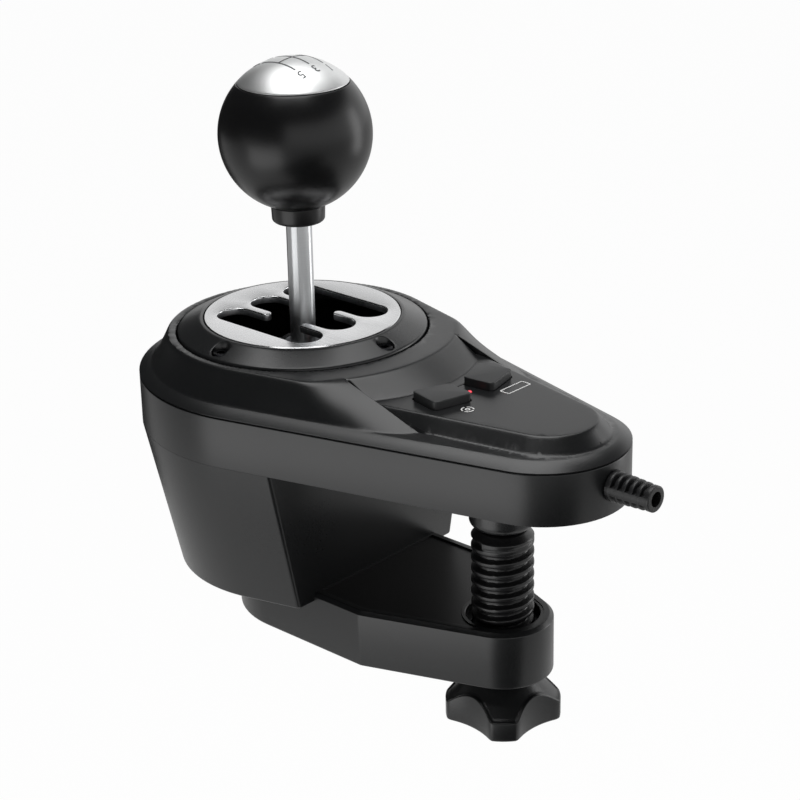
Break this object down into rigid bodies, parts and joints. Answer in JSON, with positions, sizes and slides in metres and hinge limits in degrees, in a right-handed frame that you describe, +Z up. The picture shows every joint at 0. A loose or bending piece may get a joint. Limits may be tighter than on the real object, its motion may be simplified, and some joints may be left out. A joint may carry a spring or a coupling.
{
  "type": "sim racing gear shifter",
  "caption": "Desk-clamped gear shifter for driving games: ball knob on a lever in an H-gate over a gimbal, push buttons, spine, foot and a clamp screw with a swivel pad.",
  "frame": {"origin": "on the clamp screw's axis, at the underside of the rubber pad that lies on the desk", "axes": "+Z up, +Y from the lever towards the nose and its cable outlet, +X to the right of someone who faces along +Y"},
  "size_m": [0.11, 0.2007, 0.2059],
  "materials": {
    "body_plastic": "fine moulded texture",
    "dark_plastic": "satin",
    "button_plastic": "fine moulded texture",
    "ball_plastic": "satin",
    "pad_rubber": "matte",
    "gate_aluminium": "brushed",
    "shaft_chrome": "polished",
    "frame_casting": "as cast",
    "screw_steel": "plain",
    "bearing_bronze": "turned",
    "circuit_board": "solder resist",
    "lamp_red": "diffused"
  },
  "bodies": {
    "housing": {"main_body": "body_plastic", "top_cover": "body_plastic", "spine_shell": "body_plastic", "foot_shell": "body_plastic", "foot_deck": "dark_plastic", "foot_base": "body_plastic", "jaw_pad": "pad_rubber", "gate_ring": "dark_plastic", "gate_plate": "gate_aluminium", "gate_screws": "screw_steel", "cover_screws": "screw_steel", "spine_screws": "screw_steel", "foot_screws": "screw_steel", "base_screws": "screw_steel", "pivot_frame": "frame_casting", "frame_screws": "screw_steel", "pivot_bushes": "bearing_bronze", "panel_board": "circuit_board", "board_screws": "screw_steel", "button_switches": "dark_plastic", "signal_lamp": "lamp_red", "sensor_board": "circuit_board", "sensor_screws": "screw_steel", "strain_relief": "dark_plastic", "clamp_nut": "bearing_bronze"},
    "cradle": {"cradle": "frame_casting", "cradle_pins": "screw_steel", "centring_springs": "screw_steel"},
    "yoke": {"yoke": "dark_plastic", "yoke_pins": "screw_steel", "dust_dome": "dark_plastic", "sensor_magnet": "screw_steel", "reverse_spring": "screw_steel"},
    "lever": {"lever_shaft": "shaft_chrome", "stop_pin": "screw_steel", "knob_insert": "bearing_bronze", "knob_collar": "dark_plastic", "knob_ball": "ball_plastic", "knob_cap": "gate_aluminium"},
    "button_right": {"button_right": "button_plastic"},
    "button_left": {"button_left": "button_plastic"},
    "clamp_pad": {"swivel_pad": "dark_plastic", "pad_facing": "pad_rubber"},
    "clamp_screw": {"clamp_screw": "dark_plastic", "star_knob": "body_plastic"}
  },
  "joints": [
    {"name": "shift", "type": "hinge", "parent": "housing", "child": "cradle", "pos_m": [0, -0.0865, -0.02], "axis": [-1, 0, 0], "range_deg": [-16.2, 16.2]},
    {"name": "select", "type": "hinge", "parent": "cradle", "child": "yoke", "pos_m": [0, -0.0865, -0.02], "axis": [0, 1, 0], "range_deg": [-15.8, 15.8], "stiffness_Nm_per_rad": 2.5, "deforming": ["centring_springs"]},
    {"name": "push_down", "type": "slide", "parent": "yoke", "child": "lever", "axis": [0, 0, -1], "range_m": [0, 0.005], "stiffness_N_per_m": 1500, "springref_m": -0.004, "deforming": ["reverse_spring"]},
    {"name": "button_right_press", "type": "slide", "parent": "housing", "child": "button_right", "axis": [0, 0, -1], "range_m": [0, 0.0008], "stiffness_N_per_m": 1500, "springref_m": -0.0008},
    {"name": "button_left_press", "type": "slide", "parent": "housing", "child": "button_left", "axis": [0, 0, -1], "range_m": [0, 0.0008], "stiffness_N_per_m": 1500, "springref_m": -0.0008},
    {"name": "clamp_travel", "type": "slide", "parent": "housing", "child": "clamp_pad", "axis": [0, 0, 1], "range_m": [-0.0281, 0.0011]},
    {"name": "clamp_turn", "type": "hinge", "parent": "clamp_pad", "child": "clamp_screw", "pos_m": [0, 0, -0.0115], "axis": [0, 0, 1], "range_deg": [-2520, 90]}
  ],
  "couplings": [
    {"joint": "clamp_travel", "follows": "clamp_turn", "m_per_rad": 0.00063662}
  ]
}
